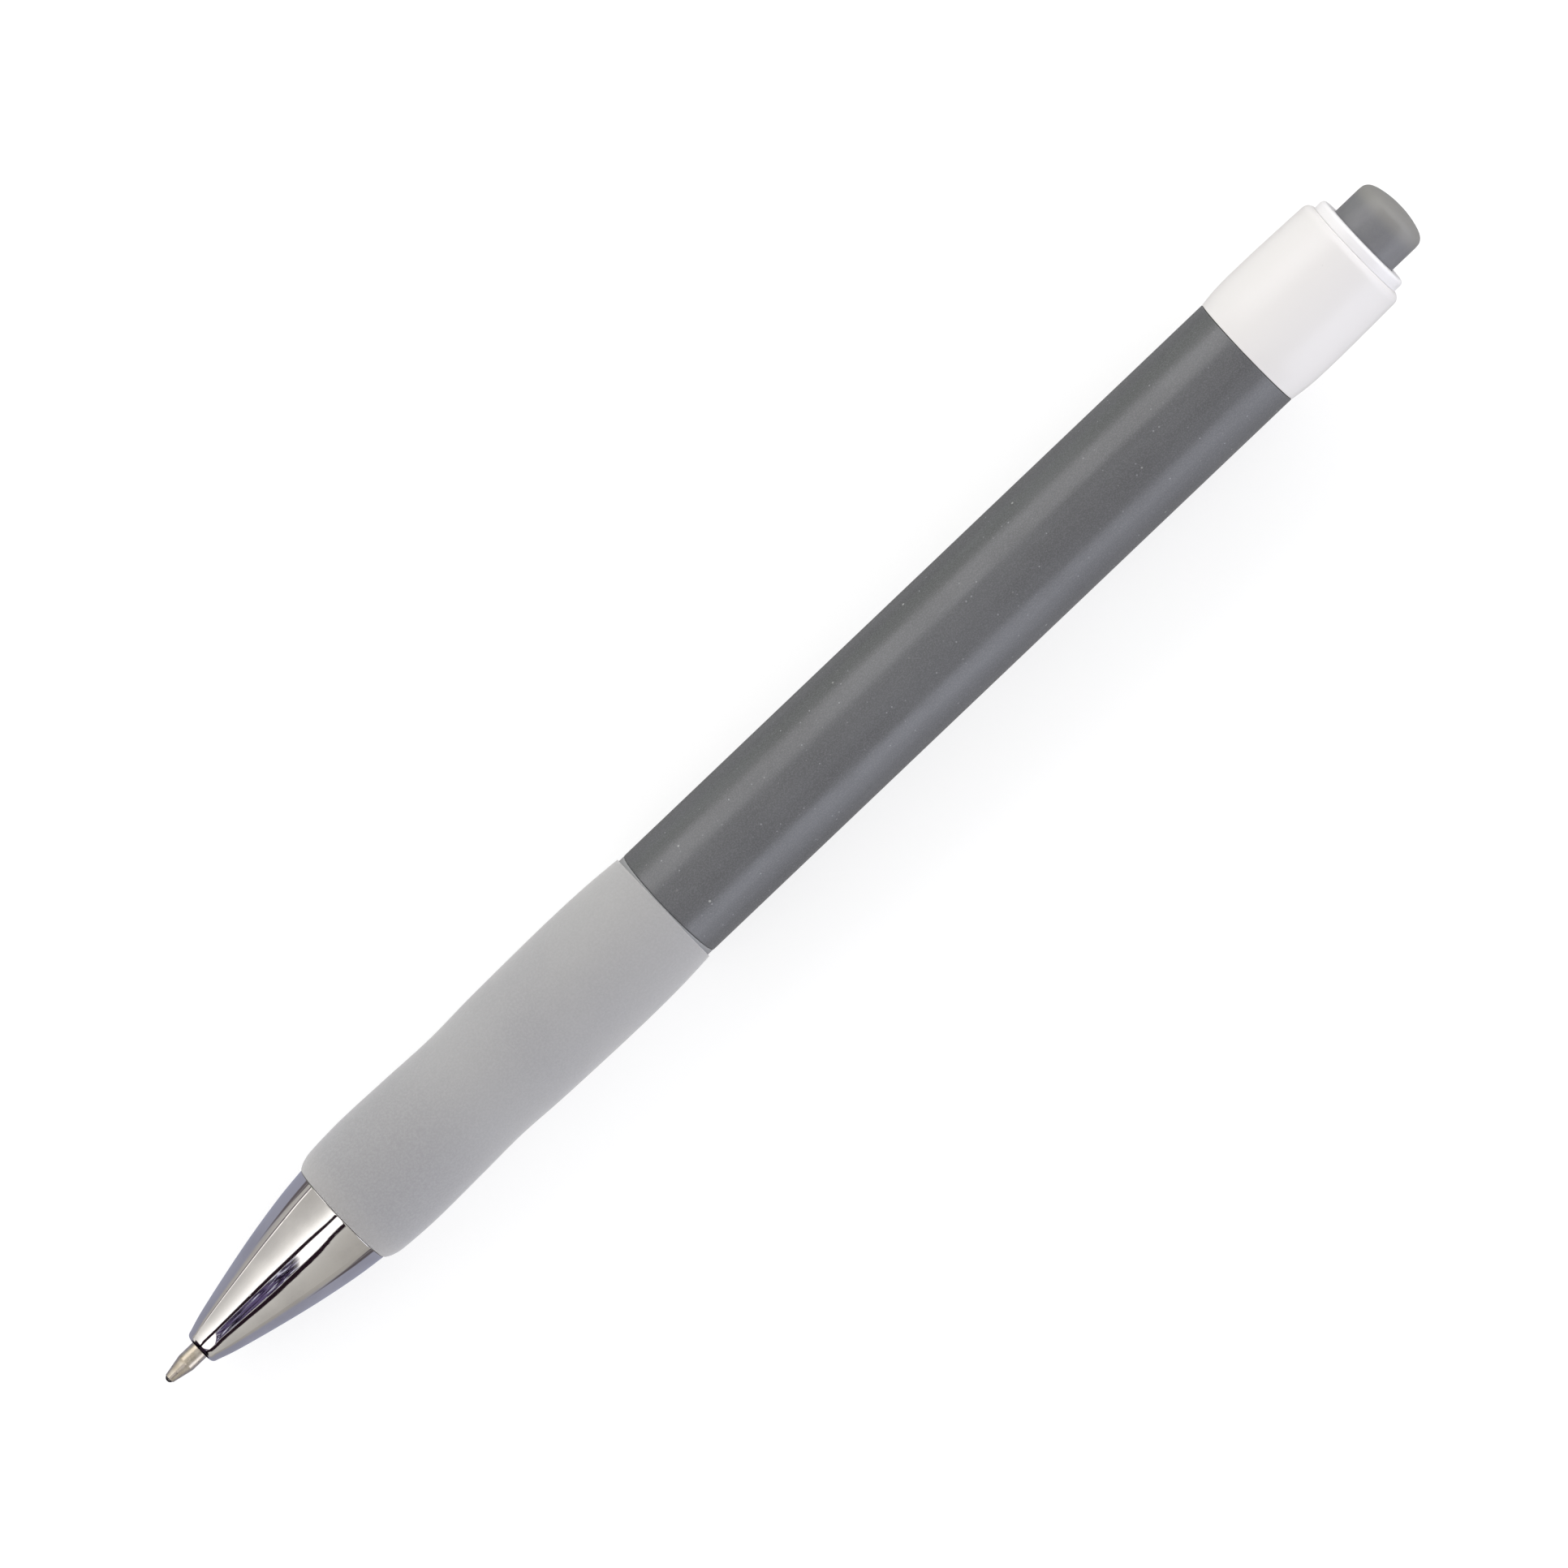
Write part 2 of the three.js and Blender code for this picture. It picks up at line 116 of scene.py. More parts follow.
def smooth(points, count):
    """Points of an outline on a smooth curve through the given ones."""
    made = []
    for step in range(count + 1):
        place = (len(points) - 1) * step / count
        i = min(int(place), len(points) - 2)
        t = place - i
        p0, p1, p2 = points[max(i - 1, 0)], points[i], points[i + 1]
        p3 = points[min(i + 2, len(points) - 1)]
        pair = []
        for a, b, c, d in zip(p0, p1, p2, p3):
            v0, v1 = (c - a) / 2, (d - b) / 2
            pair.append((2 * b - 2 * c + v0 + v1) * t**3 + (3 * c - 3 * b - 2 * v0 - v1) * t**2 + v0 * t + b)
        made.append(tuple(pair))
    return made


def rounded(outline, steps=6):
    """The outline with its marked corners rounded, and a loop beside each rounding."""
    made = []
    for i, corner in enumerate(outline):
        here = Vector(corner[:2])
        if len(corner) < 3:
            made.append(tuple(here))
            continue
        back = Vector(outline[i - 1][:2]) - here
        ahead = Vector(outline[(i + 1) % len(outline)][:2]) - here
        half = back.angle(ahead) / 2
        reach = corner[2] / math.tan(half)
        back_way, ahead_way = back.normalized(), ahead.normalized()
        centre = here + (back_way + ahead_way).normalized() * corner[2] / math.sin(half)
        start, end = here + back_way * reach, here + ahead_way * reach
        if back.length > reach + 2 * SUPPORT:
            made.append(tuple(start + back_way * SUPPORT))
        first, last = start - centre, end - centre
        sweep = first.angle_signed(last)
        for step in range(steps + 1):
            turn = -sweep * step / steps
            made.append(
                (
                    centre.x + first.x * math.cos(turn) - first.y * math.sin(turn),
                    centre.y + first.x * math.sin(turn) + first.y * math.cos(turn),
                )
            )
        if ahead.length > reach + 2 * SUPPORT:
            made.append(tuple(end + ahead_way * SUPPORT))
    return made


# ---- Meshes ----------------------------------------------------------------------------

SEGMENTS = 128  # round an outer piece
FINE_SEGMENTS = 64  # round a small one
SHARP = math.radians(32)


def new_object(name, bm):
    bmesh.ops.remove_doubles(bm, verts=bm.verts, dist=1e-8)
    bmesh.ops.recalc_face_normals(bm, faces=bm.faces)
    mesh = bpy.data.meshes.new(name)
    bm.to_mesh(mesh)
    bm.free()
    obj = bpy.data.objects.new(name, mesh)
    bpy.context.scene.collection.objects.link(obj)
    obj.matrix_world = PEN
    return obj


def lathe(name, outline, closed=True, segments=SEGMENTS, shift=None):
    """A piece turned about the pen's axis. shift moves a point along the pen by its place."""
    bm = bmesh.new()
    rings = []
    for x, radius in outline:
        count = 1 if radius < 1e-6 else segments
        ring = []
        for i in range(count):
            angle = 2 * math.pi * i / segments
            y, z = radius * math.cos(angle), radius * math.sin(angle)
            along = x + (shift(x, y, z) if shift else 0)
            ring.append(bm.verts.new((along * MM, y * MM, z * MM)))
        rings.append(ring)
    for a, b in zip(rings, rings[1:] + (rings[:1] if closed else [])):
        for i in range(segments):
            j = (i + 1) % segments
            corners = [a[i % len(a)], a[j % len(a)], b[j % len(b)], b[i % len(b)]]
            unique = list(dict.fromkeys(corners))
            if len(unique) > 2:
                bm.faces.new(unique)
    return new_object(name, bm)


def loft(name, sections):
    """A piece through closed loops of points, with both ends closed."""
    bm = bmesh.new()
    loops = [[bm.verts.new([c * MM for c in point]) for point in loop] for loop in sections]
    for a, b in zip(loops, loops[1:]):
        for i in range(len(a)):
            j = (i + 1) % len(a)
            bm.faces.new((a[i], a[j], b[j], b[i]))
    bm.faces.new(loops[0])
    bm.faces.new(loops[-1])
    return new_object(name, bm)


def prism(corners, thickness, turn):
    """A prism with the given (x, y) corners, right across the axis, turned about it."""
    flat = [[(x, y, z) for x, y in corners] for z in (-thickness, thickness)]
    obj = loft("tool", flat)
    obj.data.transform(Matrix.Rotation(turn, 4, "X"))
    return obj


def combine(obj, tool, operation):
    """Adds tool's solid to obj's or cuts it out, and removes tool."""
    modifier = obj.modifiers.new("combine", "BOOLEAN")
    modifier.operation = operation
    modifier.solver = "EXACT"
    modifier.object = tool
    bpy.context.view_layer.update()
    evaluated = obj.evaluated_get(bpy.context.evaluated_depsgraph_get())
    mesh = bpy.data.meshes.new_from_object(evaluated)
    obj.modifiers.clear()
    obj.data = mesh
    bpy.data.objects.remove(tool)
    return obj


def finish_piece(obj, body, slot, look, *nodes):
    """Shades a piece with its look, and ties it to its CAD body and the nodes that it replaces, which it
    hides. The slot is not used.
    """
    obj.data.materials.clear()
    obj.data.materials.append(look)
    obj.data.shade_smooth()
    obj.data.set_sharp_from_angle(angle=SHARP)
    if body:
        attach(obj, body)
    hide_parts(*nodes)
    return obj


THREAD = {
    "pitch": 1.0, "front": 21.3, "turns": 4.4, "root": 0.5, "crest": 0.2, "height": 0.32, "sunk": 0.1,
}


def thread_ridge(front, turns, root_radius, crest_radius, steps_per_turn=48):
    """A ridge of trapezoidal section along a right-hand helix."""
    section = [
        (-THREAD["root"] / 2, root_radius),
        (-THREAD["crest"] / 2, crest_radius),
        (THREAD["crest"] / 2, crest_radius),
        (THREAD["root"] / 2, root_radius),
    ]
    loops = []
    for step in range(round(turns * steps_per_turn) + 1):
        turn = step / steps_per_turn
        angle = 2 * math.pi * turn
        x = front + turn * THREAD["pitch"]
        loops.append([(x + dx, r * math.cos(angle), r * math.sin(angle)) for dx, r in section])
    return loft("ridge", loops)


# ---- Materials -------------------------------------------------------------------------


def tone(red, green, blue):
    """A colour given as 0 to 255 on a display, as the shader's linear light."""
    parts = [c / 255 for c in (red, green, blue)]
    return tuple(c / 12.92 if c <= 0.04045 else ((c + 0.055) / 1.055) ** 2.4 for c in parts) + (1.0,)


def grey(level):
    """A colour of the same linear light in all three parts."""
    return (level, level, level, 1.0)


class Nodes:
    """Short ways to add shader nodes to a material's or a world's tree."""

    def __init__(self, tree, place):
        self.tree = tree
        self.place = self.node("ShaderNodeTexCoord").outputs[place]

    def node(self, kind, **settings):
        made = self.tree.nodes.new(kind)
        for key, value in settings.items():
            setattr(made, key, value)
        return made

    def fill(self, socket, value):
        """Gives a socket a number or a colour, or links another socket to it."""
        if isinstance(value, bpy.types.NodeSocket):
            self.tree.links.new(value, socket)
        else:
            socket.default_value = value

    def axes(self, place=None):
        """The x, y and z of a place."""
        split = self.node("ShaderNodeSeparateXYZ")
        self.fill(split.inputs["Vector"], place or self.place)
        return split.outputs

    def math(self, operation, *values):
        made = self.node("ShaderNodeMath", operation=operation)
        for socket, value in zip(made.inputs, values):
            self.fill(socket, value)
        return made.outputs["Value"]

    def spread(self, value, low, high, to_low=0.0, to_high=1.0):
        """value from low..high to to_low..to_high, smoothly and without going past."""
        made = self.node("ShaderNodeMapRange", interpolation_type="SMOOTHSTEP")
        for key, given in (
            ("Value", value), ("From Min", low), ("From Max", high), ("To Min", to_low), ("To Max", to_high),
        ):
            self.fill(made.inputs[key], given)
        return made.outputs["Result"]

    def mix(self, factor, low, high):
        """The colour low where factor is 0 and high where it is 1."""
        made = self.node("ShaderNodeMix", data_type="RGBA")
        for i, given in ((0, factor), (6, low), (7, high)):
            self.fill(made.inputs[i], given)
        return made.outputs[2]

    def ramp(self, value, low, high, stops, top=1.0):
        """The colour at a value, from stops of (value, brightness, tint), divided by top."""
        made = self.node("ShaderNodeValToRGB")
        elements = made.color_ramp.elements
        while len(elements) > 1:
            elements.remove(elements[-1])
        for i, (stop, brightness, tint) in enumerate(stops):
            place = (stop - low) / (high - low)
            element = elements[0] if i == 0 else elements.new(place)
            element.position = place
            element.color = tuple(brightness / top * c for c in tint) + (1,)
        scaled = self.math("DIVIDE", self.math("SUBTRACT", value, low), high - low)
        self.fill(made.inputs["Fac"], scaled)
        return made.outputs["Color"]

    def stretched(self, scale):
        """The place, scaled differently along each axis."""
        mapping = self.node("ShaderNodeMapping")
        self.fill(mapping.inputs["Scale"], scale)
        self.fill(mapping.inputs["Vector"], self.place)
        return mapping.outputs["Vector"]

    def noise(self, scale, detail=2.0, roughness=0.5, stretch=None):
        made = self.node("ShaderNodeTexNoise")
        place = self.stretched(stretch) if stretch else self.place
        for key, given in (("Scale", scale), ("Detail", detail), ("Roughness", roughness), ("Vector", place)):
            self.fill(made.inputs[key], given)
        return made.outputs["Fac"]

    def cells(self, scale, output="Distance"):
        made = self.node("ShaderNodeTexVoronoi")
        self.fill(made.inputs["Scale"], scale)
        self.fill(made.inputs["Vector"], self.place)
        return made.outputs[output]


class Look(Nodes):
    """A procedural material: a Principled shader, and what feeds it."""

    def __init__(self, name, **constants):
        self.material = bpy.data.materials.new(name)
        self.material.use_nodes = True
        super().__init__(self.material.node_tree, "Object")
        self.shader = self.tree.nodes["Principled BSDF"]
        self.normal = None
        self.feed(**constants)

    def feed(self, **values):
        for socket, value in values.items():
            self.fill(self.shader.inputs[socket.replace("_", " ")], value)
        return self.material

    def bump(self, height, distance):
        """Raises the surface by distance, in millimetres, where height is 1."""
        made = self.node("ShaderNodeBump")
        self.fill(made.inputs["Distance"], distance * MM)
        self.fill(made.inputs["Height"], height)
        if self.normal:
            self.fill(made.inputs["Normal"], self.normal)
        self.normal = made.outputs["Normal"]
        self.feed(Normal=self.normal)


def flecks(look, scale, size, share):
    """Small spots of chance brightness, at some of the cells of a given scale."""
    spot = look.spread(look.cells(scale), size, size * 0.35)
    chance = look.axes(look.cells(scale, "Color"))[0]
    return look.math("MULTIPLY", spot, look.spread(chance, 1 - share, 1.0, 0.0, 1.0))


def barrel_look():
    """Grey moulded plastic with fine pale flecks in it."""
    look = Look("barrel_plastic", IOR=1.56)
    cloud = look.spread(look.noise(140, 3), 0.3, 0.7)
    flow = look.spread(look.noise(420, 2, stretch=(0.12, 1, 1)), 0.3, 0.7)
    base = look.mix(cloud, tone(88, 88, 90), tone(92, 92, 94))
    base = look.mix(look.spread(flow, 0, 1, 0, 0.35), base, tone(104, 105, 108))
    dust = look.spread(look.noise(9000, 1), 0.35, 0.75)
    base = look.mix(look.math("MULTIPLY", dust, 0.35), base, tone(126, 126, 130))
    base = look.mix(flecks(look, 1700, 0.17, 0.4), base, tone(142, 142, 146))
    base = look.mix(flecks(look, 800, 0.12, 0.14), base, tone(168, 168, 166))
    look.bump(look.noise(900, 2), 0.004)
    look.bump(look.noise(6500, 1), 0.0008)
    rough = look.spread(look.noise(260, 3), 0.3, 0.7, 0.2, 0.27)
    return look.feed(Base_Color=base, Roughness=rough)


# Where a look changes along the pen, in metres: where the change starts and where it is complete.
GRIP_DARKER = 0.037, 0.027
GRIP_PALER_REAR, GRIP_PALER_FRONT = (0.040, 0.057), (0.0235, 0.0205)
CROWN_PAINTED_LIGHT = 0.1405, 0.1419
REVEAL_RING = 0.060, 0.059
NOSE_RIM = 0.00432, 0.00422
OVER_TIP = 0.0009, 0.0007  # the same across the pen


def grip_look():
    """Frosted thermoplastic rubber, darker over its front part and a little paler towards both ends."""
    look = Look(
        "grip_rubber", IOR=1.5, Sheen_Weight=0.35, Sheen_Roughness=0.45,
        Subsurface_Weight=0.25, Subsurface_Scale=0.0008, Subsurface_Radius=(1, 1, 1),
    )
    cloud = look.spread(look.noise(90, 3), 0.3, 0.7)
    base = look.mix(cloud, tone(160, 159, 161), tone(165, 164, 165))
    along = look.axes()[0]
    # Darker from the middle of the grip forward, and paler towards its rear end and its front edge.
    base = look.mix(look.spread(along, *GRIP_DARKER), base, tone(155, 154, 156))
    rear = look.spread(along, *GRIP_PALER_REAR)
    base = look.mix(look.math("MULTIPLY", rear, 0.2), base, tone(187, 185, 181))
    front = look.spread(along, *GRIP_PALER_FRONT)
    base = look.mix(look.math("MULTIPLY", front, 0.35), base, tone(180, 176, 172))
    grain = look.noise(5200, 3, 0.65)
    base = look.mix(look.spread(grain, 0.35, 0.7, 0, 0.3), base, tone(184, 183, 184))
    base = look.mix(flecks(look, 260, 0.06, 0.12), base, tone(126, 124, 120))
    look.bump(grain, 0.02)
    look.bump(look.spread(look.cells(2600), 0.06, 0.3), 0.006)
    held = look.spread(look.noise(150, 2), 0.35, 0.65, 0.56, 0.68)
    return look.feed(Base_Color=base, Roughness=held)


def white_look(name, shade):
    """Glossy white moulded plastic, with a few specks in it."""
    look = Look(name, IOR=1.49)
    cloud = look.spread(look.noise(45, 1), 0.1, 0.9)
    base = look.mix(cloud, tone(*shade), tone(*[c - 2 for c in shade]))
    base = look.mix(flecks(look, 300, 0.05, 0.12), base, tone(150, 148, 150))
    look.bump(look.noise(260, 1), 0.003)
    look.bump(look.noise(5200, 2), 0.0006)
    rough = look.spread(look.noise(90, 1), 0.1, 0.9, 0.29, 0.33)
    return look.feed(Base_Color=base, Roughness=rough)


def smoke_look():
    """Tinted see-through plastic with flow marks, paler at the thin ring, and with painted light on the solid
    crown for light coming through it.
    """
    look = Look("smoke_plastic", IOR=1.5, Transmission_Weight=0.3)
    flow = look.spread(look.noise(500, 3, stretch=(0.25, 1, 1)), 0.3, 0.7)
    base = look.mix(flow, tone(136, 136, 140), tone(145, 144, 148))
    along = look.axes()[0]
    # Painted light: the solid crown has no core behind it, and is made paler for the light that comes through
    # it.
    base = look.mix(look.spread(along, *CROWN_PAINTED_LIGHT), base, tone(160, 158, 155))
    base = look.mix(look.spread(along, *REVEAL_RING), base, tone(178, 178, 180))
    dust = look.spread(look.noise(7000, 1), 0.35, 0.75)
    base = look.mix(look.math("MULTIPLY", dust, 0.2), base, tone(160, 160, 158))
    look.bump(look.noise(1100, 2), 0.003)
    look.bump(look.noise(7000, 2), 0.003)
    rough = look.spread(look.noise(800, 3), 0.3, 0.7, 0.34, 0.44)
    return look.feed(Base_Color=base, Roughness=rough)


def chrome_look():
    """Bright plating, with the faint ripple of the moulding under it and light handling marks."""
    look = Look("chrome_plate", Metallic=1.0)
    haze = look.spread(look.noise(240, 4, 0.6), 0.35, 0.7)
    base = look.mix(haze, tone(226, 222, 219), tone(214, 210, 208))
    along, across, _ = look.axes()
    # A dark tone painted on the front rim, over the refill's tip, for the hole that a rim mirrors.
    over_tip = look.spread(look.math("ABSOLUTE", across), *OVER_TIP)
    rim = look.math("MULTIPLY", look.spread(along, *NOSE_RIM), over_tip)
    base = look.mix(rim, base, tone(26, 18, 26))
    scratch = look.spread(look.noise(2600, 3, 0.7, stretch=(0.08, 1, 1)), 0.62, 0.74)
    look.bump(look.noise(330, 2), 0.0035)
    look.bump(scratch, 0.0002)
    rough = look.spread(haze, 0, 1, 0.025, 0.06)
    rough = look.math("ADD", rough, look.spread(scratch, 0, 1, 0, 0.08))
    return look.feed(Base_Color=base, Roughness=rough)


def turned_metal_look(name, light, dark, rough, ring_pitch):
    """Metal with the fine rings of a lathe."""
    look = Look(name, Metallic=1.0)
    cloud = look.spread(look.noise(1500, 3), 0.3, 0.7)
    base = look.mix(cloud, tone(*light), tone(*dark))
    rings = look.noise(1.0, 2, stretch=(1000 / ring_pitch, 60, 60))
    look.bump(rings, 0.0025)
    finish = look.spread(look.noise(2400, 2), 0.3, 0.7, rough, rough + 0.1)
    return look.feed(Base_Color=base, Roughness=finish)


def ball_look():
    """A carbide ball, wet with ink."""
    look = Look("ball_carbide", Metallic=0.6, Coat_Weight=1.0, Coat_Roughness=0.06)
    film = look.spread(look.noise(2600, 3), 0.35, 0.65)
    base = look.mix(film, tone(10, 9, 12), tone(44, 38, 40))
    look.bump(film, 0.002)
    return look.feed(Base_Color=base, Roughness=look.spread(film, 0, 1, 0.08, 0.24))


def wire_look():
    """Drawn spring steel."""
    look = Look("spring_steel", Metallic=1.0)
    cloud = look.spread(look.noise(2200, 3), 0.3, 0.7)
    base = look.mix(cloud, tone(178, 178, 180), tone(150, 149, 150))
    look.bump(look.noise(9000, 2), 0.003)
    rough = look.spread(look.noise(3000, 2), 0.3, 0.7, 0.2, 0.34)
    return look.feed(Base_Color=base, Roughness=rough)


def moulded_look(name, light, dark, rough, clear=0.0):
    """Plain moulded plastic for the works, with a faint mould grain."""
    look = Look(name, IOR=1.5, Transmission_Weight=clear)
    cloud = look.spread(look.noise(600, 3), 0.3, 0.7)
    base = look.mix(cloud, tone(*light), tone(*dark))
    look.bump(look.noise(3500, 2), 0.006)
    finish = look.spread(look.noise(900, 2), 0.3, 0.7, rough, rough + 0.12)
    return look.feed(Base_Color=base, Roughness=finish)


BARREL = barrel_look()
GRIP = grip_look()
WHITE = white_look("white_plastic", (232, 229, 228))
WHITE_RING = white_look("white_ring_plastic", (240, 238, 239))
SMOKE = smoke_look()
CHROME = chrome_look()
NICKEL = turned_metal_look("nickel_silver", (214, 204, 190), (196, 184, 166), 0.26, 0.11)
CARBIDE = ball_look()
SPRING_STEEL = wire_look()
NYLON = moulded_look("white_acetal", (238, 238, 232), (228, 228, 222), 0.34)
DARK_NYLON = moulded_look("dark_acetal", (74, 74, 78), (62, 62, 66), 0.3)
CLEAR = moulded_look("clear_tube", (232, 236, 238), (222, 227, 230), 0.12, 0.7)
INK = moulded_look("ink", (22, 23, 30), (14, 15, 20), 0.16)

# ---- Front end: writing tip, ball, nose cone, lower barrel and grip --------------------

NOSE_FRONT, NOSE_END = 3.87, 20.4
NOSE_BASE_RADIUS, NOSE_RIM_RADIUS = 5.0, 1.52
NOSE_OGIVE = [
    (4.35, 1.65), (6, 2.18), (9.4, 3.03), (13.5, 3.94), (17.5, 4.65), (NOSE_END, NOSE_BASE_RADIUS),
]
SPIGOT_RADIUS, SPIGOT_END, SPIGOT_CHAMFER = 3.3, 27.0, 0.3
# Its bores, from the rear: radius, and where each ends in front.
SPRING_BORE, SPRING_SEAT = 2.5, 13.0
HOLDER_BORE, HOLDER_STOP = 1.35, 7.0
TIP_BORE, TIP_BORE_END = 0.885, 6.5

SLEEVE, SLEEVE_BORE = 4.5, 4.55
SLEEVE_FRONT, SLEEVE_END = 20.32, 66.0
SOCKET_BORE, SOCKET_END = 3.72, 28.0  # for the nose cone's thread
REFILL_BORE, REFILL_BORE_FRONT = 3.0, 28.7
UPPER_FRONT, UPPER_RADIUS = 58.3, 5.43
RING_FRONT, RING_END, RING_RADIUS = 56.9, 58.27, 5.41
BARREL_RISE, GRIP_RISE = -0.17, 0.36  # slants of the barrel's front end and the grip's rear end

GRIP_FRONT, GRIP_FRONT_RADIUS = 20.44, 5.02
GRIP_END, GRIP_END_RADIUS = 57.66, 5.58
GRIP_LIP_ROOM, GRIP_LIP_DEPTH = 0.03, 0.1
GRIP_LINE = [
    (20.53, 5.13), (21.2, 5.44), (22.4, 5.65), (26, 5.79), (31, 5.69),
    (35.9, 5.57), (41, 5.76), (48.8, 5.88), (54, 5.81), (GRIP_END, GRIP_END_RADIUS),
]


def make_nose_cone():
    ogive = smooth(NOSE_OGIVE, 70)
    outline = [
        (NOSE_FRONT, NOSE_RIM_RADIUS, 0.42),
        *ogive[2:-1],
        (NOSE_END, NOSE_BASE_RADIUS, 0.04),
        (NOSE_END, SPIGOT_RADIUS, 0.1),
        (SPIGOT_END - SPIGOT_CHAMFER, SPIGOT_RADIUS),
        (SPIGOT_END, SPIGOT_RADIUS - SPIGOT_CHAMFER),
        (SPIGOT_END, SPRING_BORE),
        (SPRING_SEAT, SPRING_BORE),
        (SPRING_SEAT, HOLDER_BORE),
        (HOLDER_STOP, HOLDER_BORE),
        (TIP_BORE_END, TIP_BORE),
        (NOSE_FRONT, TIP_BORE, 0.08),
    ]
    cone = lathe("nose_cone_chrome", rounded(outline))
    crest = SPIGOT_RADIUS + THREAD["height"]
    ridge = thread_ridge(THREAD["front"], THREAD["turns"], SPIGOT_RADIUS - THREAD["sunk"], crest)
    combine(cone, ridge, "UNION")
    return finish_piece(cone, "nose", "chrome", CHROME, "nose_cone")


def make_lower_barrel():
    outline = [
        (SLEEVE_FRONT, SLEEVE, 0.15),
        (RING_FRONT, SLEEVE),
        (RING_FRONT, RING_RADIUS, 0.06),
        (RING_END, RING_RADIUS, 0.04),
        (RING_END, SLEEVE),
        (SLEEVE_END, SLEEVE, 0.15),
        (SLEEVE_END, REFILL_BORE, 0.15),
        (REFILL_BORE_FRONT, REFILL_BORE),
        (SOCKET_END, SOCKET_BORE),
        (SLEEVE_FRONT, SOCKET_BORE, 0.1),
    ]
    barrel = lathe("lower_barrel_smoke", rounded(outline), shift=slant(RING_END, BARREL_RISE, reach=0.3))
    front, turns = THREAD["front"] - THREAD["pitch"] / 2, THREAD["turns"] + 0.5
    ridge = thread_ridge(front, turns, SOCKET_BORE + THREAD["sunk"], SOCKET_BORE - THREAD["height"])
    combine(barrel, ridge, "UNION")
    return finish_piece(barrel, "casing", "smoke", SMOKE, "lower_barrel")


def slant(end, rise, reach):
    """A shift that tilts the end of a piece, by rise at the top of the barrel."""

    def shift(x, y, z):
        weight = 1 - min(max(abs(x - end) / reach - 1, 0), 1)
        return rise * weight * z / UPPER_RADIUS

    return shift


def make_grip():
    """The rear end is cut at a slight slant, and its lip lies over the reveal ring."""
    lip_bore = RING_RADIUS + GRIP_LIP_ROOM
    lip_front = RING_FRONT - GRIP_LIP_DEPTH
    outline = [
        (GRIP_FRONT, GRIP_FRONT_RADIUS, 0.03),
        *smooth(GRIP_LINE, 110)[:-1],
        (GRIP_END, GRIP_END_RADIUS, 0.04),
        (GRIP_END, lip_bore),
        (lip_front, lip_bore),
        (lip_front, SLEEVE_BORE),
        (GRIP_FRONT, SLEEVE_BORE),
    ]
    sleeve = lathe("grip_sleeve_rubber", rounded(outline), shift=slant(GRIP_END, GRIP_RISE, reach=1.2))
    return finish_piece(sleeve, "casing", "grip", GRIP, "grip_sleeve")


SOCKET_PLAY = 0.03  # round the ball
TIP_LIP, TIP_LIP_BORE, TIP_LIP_RADIUS = 0.29, 0.397, 0.44
TIP_RADIUS, TIP_FLANGE, TIP_FLANGE_END, TIP_FLANGE_RADIUS = 0.845, 9.0, 11.0, 1.15
TIP_SHANK_END, TIP_SHANK_RADIUS = 14.0, 0.6
INK_WAY_FRONT, INK_WAY_RADIUS = 0.84, 0.14


def make_writing_tip():
    radius = BALL_RADIUS + SOCKET_PLAY
    turns = [math.radians(a) for a in (20, 40, 60, 75, 90)]
    socket = [(BALL_RADIUS + radius * math.cos(a), radius * math.sin(a)) for a in turns]
    outline = [
        (TIP_LIP, TIP_LIP_BORE),
        (TIP_LIP, TIP_LIP_RADIUS, 0.02),
        (0.96, 0.58, 0.5),
        (2.2, TIP_RADIUS, 0.8),
        (TIP_FLANGE, TIP_RADIUS),
        (TIP_FLANGE, TIP_FLANGE_RADIUS, 0.1),
        (TIP_FLANGE_END, TIP_FLANGE_RADIUS, 0.1),
        (TIP_FLANGE_END, TIP_SHANK_RADIUS),
        (TIP_SHANK_END, TIP_SHANK_RADIUS, 0.1),
        (TIP_SHANK_END, INK_WAY_RADIUS),
        (INK_WAY_FRONT, INK_WAY_RADIUS),
        *socket,
    ]
    tip = lathe("writing_tip_nickel", rounded(outline), segments=FINE_SEGMENTS)
    return finish_piece(tip, "refill", "tip_metal", NICKEL, "writing_tip")


def make_ball():
    steps = 32
    outline = []
    for step in range(steps + 1):
        angle = math.pi * step / steps
        outline.append((BALL_RADIUS * (1 - math.cos(angle)), BALL_RADIUS * math.sin(angle)))
    ball = lathe("writing_ball", outline, closed=False, segments=FINE_SEGMENTS)
    return finish_piece(ball, "ball", "steel", CARBIDE, "ball")


# ---- Rear end: upper barrel, clip moulding, ratchet housing and push button ------------

UPPER_END = 125.2
SLANT_ROOM = 2.0  # from the upper barrel's slanted front to its plain part
COLLAR_FRONT, COLLAR_END = 125.25, 137.66
COLLAR_FRONT_RADIUS, COLLAR_END_RADIUS = 5.435, 5.56
COLLAR_LINE = [(COLLAR_FRONT, 5.44), (127.1, 5.65), (129.8, 5.71), (133.9, 5.65), (136.5, 5.585)]
CLIP_TIP, CLIP_THICKNESS = 95.0, 1.8
TIP_HALF_WIDTH, ROOT_HALF_WIDTH, CLIP_TAPER = 2.3, 2.8, 21.3
CLIP_NOSE_LIFT, OUTER_NOSE, INNER_NOSE = 1.1, 0.9, 1.9  # height off the table, and roundings
PAD_DEPTH = UPPER_RADIUS + 0.2
PAD_END, ARM_FRONT, ROOT_FRONT = 97.6, 101.6, 125.0
BOSS_FRONT, BOSS_END, BOSS_DEPTH = 126.9, 136.2, 4.65
BOSS_LIFT, BOSS_LIFT_FRONT, BOSS_LIFT_END = 0.3, 124.5, 127.5  # off the table
BOSS_FALL, BOSS_FALL_FRONT, BOSS_FALL_END = 4.1, 131.7, 137.8  # back to the collar
